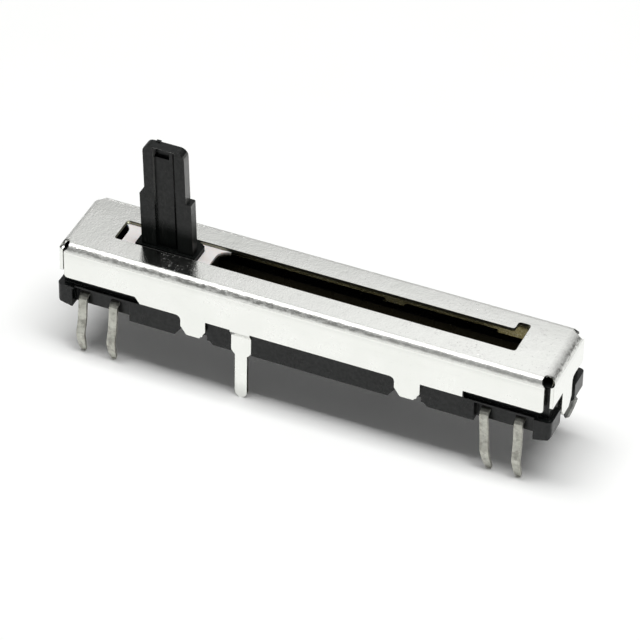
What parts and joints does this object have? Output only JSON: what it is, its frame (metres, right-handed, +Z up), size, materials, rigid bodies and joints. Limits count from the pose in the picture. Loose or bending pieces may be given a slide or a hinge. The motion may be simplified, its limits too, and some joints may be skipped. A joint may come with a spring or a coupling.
{
  "type": "slide potentiometer",
  "caption": "Slide potentiometer with a slotted sheet-metal case, a moulded base with board terminals and a flat upright lever that slides along the slot",
  "frame": {"origin": "centre of the part's footprint in the plane of the terminal tips", "axes": "+X along the travel towards the open end of the slot, +Y towards the back row of terminals, +Z up out of the cover along the lever"},
  "size_m": [0.0452, 0.0082, 0.0218],
  "materials": {
    "tinplate": "bright",
    "black_moulding": "satin",
    "white_moulding": "satin",
    "phenolic_board": "matte",
    "carbon_ink": "matte",
    "silver_ink": "satin",
    "tinned_terminal": "tinned, dull",
    "brass_rivet": "satin",
    "spring_bronze": "satin"
  },
  "bodies": {
    "case": {"cover": "tinplate", "base": "black_moulding", "element_board": "phenolic_board", "carbon_track_front": "carbon_ink", "carbon_track_back": "carbon_ink", "collector_track_front": "silver_ink", "collector_track_back": "silver_ink", "terminal_front_1": "tinned_terminal", "terminal_front_2": "tinned_terminal", "terminal_front_3": "tinned_terminal", "terminal_front_4": "tinned_terminal", "terminal_back_1": "tinned_terminal", "terminal_back_2": "tinned_terminal", "terminal_back_3": "tinned_terminal", "terminal_back_4": "tinned_terminal", "rivet_front_1": "brass_rivet", "rivet_front_2": "brass_rivet", "rivet_front_3": "brass_rivet", "rivet_front_4": "brass_rivet", "rivet_back_1": "brass_rivet", "rivet_back_2": "brass_rivet", "rivet_back_3": "brass_rivet", "rivet_back_4": "brass_rivet"},
    "slider": {"lever": "black_moulding", "carrier": "white_moulding", "brush_front": "spring_bronze", "brush_back": "spring_bronze"}
  },
  "joints": [
    {"name": "lever_slide", "type": "slide", "parent": "case", "child": "slider", "axis": [1, 0, 0], "range_m": [-0.0013, 0.0287]}
  ]
}
